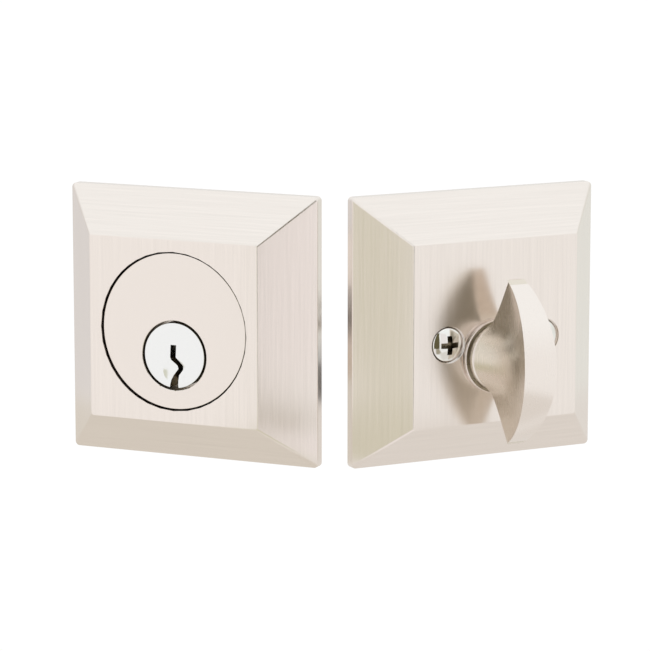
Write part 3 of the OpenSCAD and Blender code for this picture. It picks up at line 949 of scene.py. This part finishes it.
def small_parts():
    for node, body, slot, material, width in (
            ("exterior_backing_plate", "lock_set", "steel", zinc, 0.2),
            ("interior_support_plate", "lock_set", "steel", zinc, 0.2),
            ("plug_cap", "key_plug", "steel", zinc, 0.25),
            ("tailpiece", "tail", "steel", zinc, 0.15),
            ("turn_bushing", "lock_set", "brass", brass, 0.1),
            ("turn_thrust_washer", "lock_set", "nylon", nylon, 0.15),
            ("turn_retaining_ring", "turn", "dark_steel", oiled, 0.1),
            ("chamber_plugs", "lock_set", "brass", brass, 0.15),
            ("latch_faceplate", "lock_set", "satin_nickel", latch_level, 0.2),
            ("faceplate_backing", "lock_set", "steel", zinc, 0.15),
            ("latch_case_tube", "lock_set", "steel", zinc, 0.2),
            ("side_plate_upper", "lock_set", "steel", zinc, 0.15),
            ("side_plate_lower", "lock_set", "steel", zinc, 0.15),
            ("cam", "cam_unit", "dark_steel", oiled, 0.15),
            ("cam_drive_pin", "cam_unit", "steel", spring_steel, 0.2),
            ("bolt", "bolt_unit", "bright_nickel", bright, 0.3),
            ("bolt_insert", "bolt_unit", "dark_steel", oiled, 0.3),
            ("bolt_tail", "bolt_unit", "steel", zinc, 0.12),
            ("tail_pins", "bolt_unit", "dark_steel", oiled, 0.12)):
        softened(node, node + "_finished", body, material, width)
    for k in range(1, PIN_COUNT + 1):
        softened(f"key_pin_{k}", f"key_pin_{k}_finished", f"keypin_{k}", brass, 0.1)
        softened(f"driver_pin_{k}", f"driver_pin_{k}_finished", f"driver_{k}", brass, 0.12)


# ------------------------------------------------------------------ set, light and camera
FRONT_LEFT = (1.02, 1.03, 1.03)
FRONT_RIGHT = (0.99, 1.01, 1.01)
BACK_LEFT = (0.80, 0.80, 0.80)
BACK_RIGHT = (0.86, 0.89, 0.86)
# painted shade: darker floor tones under and behind the plates, where they shade the floor
UNDER_LEFT_PAINTED_SHADE = (0.77, 0.75, 0.69)
UNDER_RIGHT_PAINTED_SHADE = (0.83, 0.82, 0.79)
SKY_TONE = (1.05, 1.10, 1.12)
BEIGE = (0.72, 0.72, 0.60)
DARK = (0.13, 0.115, 0.06)
PALE = (0.96, 0.945, 0.955)
SHADE = (0.42, 0.385, 0.30)
# upright cards, mirrored by the inner bevels and the thumbturn: from x, to x, height, colour
CARD_Y = -0.130
CARDS = [(-0.080, -0.042, 0.10, BEIGE), (0.008, 0.044, 0.12, DARK), (0.052, 0.100, 0.10, PALE)]
# tones on the floor: from x, to x, from y, to y, soft edge, colour; the UNDER tones are painted shade of the plates on
# the floor
FLOOR_TONES = [(-0.10, 0.0, -0.054, 0.11, 0.008, UNDER_LEFT_PAINTED_SHADE), (0.0, 0.10, -0.054, 0.11, 0.008, UNDER_RIGHT_PAINTED_SHADE),
               (-0.052, 0.006, CARD_Y, -0.056, 0.006, BEIGE), (0.006, 0.024, CARD_Y, -0.056, 0.006, PALE),
               (0.024, 0.042, CARD_Y, -0.082, 0.006, SHADE), (0.036, 0.076, -0.088, -0.056, 0.006, UNDER_RIGHT_PAINTED_SHADE)]


def room_tone(tree, direction):
    """The studio in a level direction: pale in front, dimmer at the back."""
    level = tree.nodes.new("ShaderNodeVectorMath")
    level.operation = "MULTIPLY"
    level.inputs[1].default_value = (1, 1, 0)
    link(tree, direction, level.inputs[0])
    unit = tree.nodes.new("ShaderNodeVectorMath")
    unit.operation = "NORMALIZE"
    link(tree, level.outputs["Vector"], unit.inputs[0])
    parts = tree.nodes.new("ShaderNodeSeparateXYZ")
    link(tree, unit.outputs["Vector"], parts.inputs[0])
    front_tone = mixed(tree, spread(tree, parts.outputs["X"], 0, 1, -0.7, 0.7), FRONT_LEFT, FRONT_RIGHT)
    back_tone = mixed(tree, spread(tree, parts.outputs["X"], 0, 1, -0.6, 0.6), BACK_LEFT, BACK_RIGHT)
    return mixed(tree, spread(tree, parts.outputs["Y"], 0, 1, -0.3, 0.4), front_tone, back_tone)


def glow(name):
    material = bpy.data.materials.new(name)
    material.use_nodes = True
    tree = material.node_tree
    tree.nodes.clear()
    light = tree.nodes.new("ShaderNodeEmission")
    output = tree.nodes.new("ShaderNodeOutputMaterial")
    link(tree, light.outputs["Emission"], output.inputs["Surface"])
    return material, tree, light


def flat_square(name, size, z, material):
    corners = [(-size, -size, z), (size, -size, z), (size, size, z), (-size, size, z)]
    piece = new_object(name, corners, [(0, 1, 2, 3)])
    piece.data.materials.append(material)
    return piece


def plain_floor():
    """A white sweep, and below it the tones of the studio floor that the metal mirrors, with painted shade under and
    around the plates.
    """
    white, _, light = glow("white_sweep")
    light.inputs["Color"].default_value = (1, 1, 1, 1)
    light.inputs["Strength"].default_value = 1.02
    floor = flat_square("floor", 6.0, -0.0002, white)
    floor.visible_glossy = False
    material, tree, light = glow("studio_floor_tones")
    coords = tree.nodes.new("ShaderNodeTexCoord")
    tone = room_tone(tree, coords.outputs["Object"])
    parts = tree.nodes.new("ShaderNodeSeparateXYZ")
    link(tree, coords.outputs["Object"], parts.inputs[0])
    for x0, x1, y0, y1, soft, colour in FLOOR_TONES:
        inside = spread(tree, parts.outputs["X"], 0, 1, x0 - soft / 2, x0 + soft / 2)
        for axis, start, end in (("X", x1 + soft / 2, x1 - soft / 2), ("Y", y0 - soft / 2, y0 + soft / 2),
                                 ("Y", y1 + soft / 2, y1 - soft / 2)):
            both = tree.nodes.new("ShaderNodeMath")
            both.operation = "MULTIPLY"
            link(tree, inside, both.inputs[0])
            link(tree, spread(tree, parts.outputs[axis], 0, 1, start, end), both.inputs[1])
            inside = both.outputs[0]
        tone = mixed(tree, inside, tone, colour)
    link(tree, tone, light.inputs["Color"])
    mirrored = flat_square("floor_mirrored", 6.0, -0.0004, material)
    mirrored.visible_camera = False
    mirrored.visible_diffuse = False


def cards():
    """Upright cards in front of the set, out of the picture, mirrored by the metal."""
    for k, (x0, x1, top, colour) in enumerate(CARDS):
        material, _, light = glow(f"studio_card_{k + 1}")
        light.inputs["Color"].default_value = (*colour, 1)
        corners = [(x0, CARD_Y, 0.0), (x1, CARD_Y, 0.0), (x1, CARD_Y, top), (x0, CARD_Y, top)]
        card = new_object(f"studio_card_{k + 1}", corners, [(0, 1, 2, 3)])
        card.data.materials.append(material)
        card.visible_camera = False
        card.visible_diffuse = False
        card.visible_shadow = False


def world():
    room = bpy.data.worlds.new("white_tent")
    room.use_nodes = True
    bpy.context.scene.world = room
    tree = room.node_tree
    coords = tree.nodes.new("ShaderNodeTexCoord")
    parts = tree.nodes.new("ShaderNodeSeparateXYZ")
    link(tree, coords.outputs["Generated"], parts.inputs[0])
    tone = room_tone(tree, coords.outputs["Generated"])
    upward = spread(tree, parts.outputs["Z"], 0, 1, 0.1, 0.6)
    around = mixed(tree, upward, tone, SKY_TONE)
    seen = tree.nodes.new("ShaderNodeLightPath").outputs["Is Camera Ray"]
    link(tree, mixed(tree, seen, around, (1.0, 1.0, 1.0)), tree.nodes["Background"].inputs["Color"])


TARGET = Vector((-1.82, -39.72, 34.3)) * MM
ELEVATION = math.radians(10.27)
DISTANCE = 0.8174
LENS = 185.3


def camera():
    lens = bpy.data.cameras.new("camera")
    lens.lens = LENS
    lens.sensor_width = 36.0
    lens.clip_start = 0.01
    lens.clip_end = 50.0
    holder = bpy.data.objects.new("camera", lens)
    away = Vector((0, -math.cos(ELEVATION), math.sin(ELEVATION)))
    holder.location = TARGET + DISTANCE * away
    holder.rotation_euler = (-away).to_track_quat("-Z", "Y").to_euler()
    bpy.context.scene.collection.objects.link(holder)
    bpy.context.scene.camera = holder


exterior_shell()
interior_shell()
cylinder()
plug()
thumbturn()
pin_springs()
mounting_screws()
rivets()
small_parts()
plain_floor()
cards()
world()
bpy.context.scene.view_settings.view_transform = "Standard"
camera()
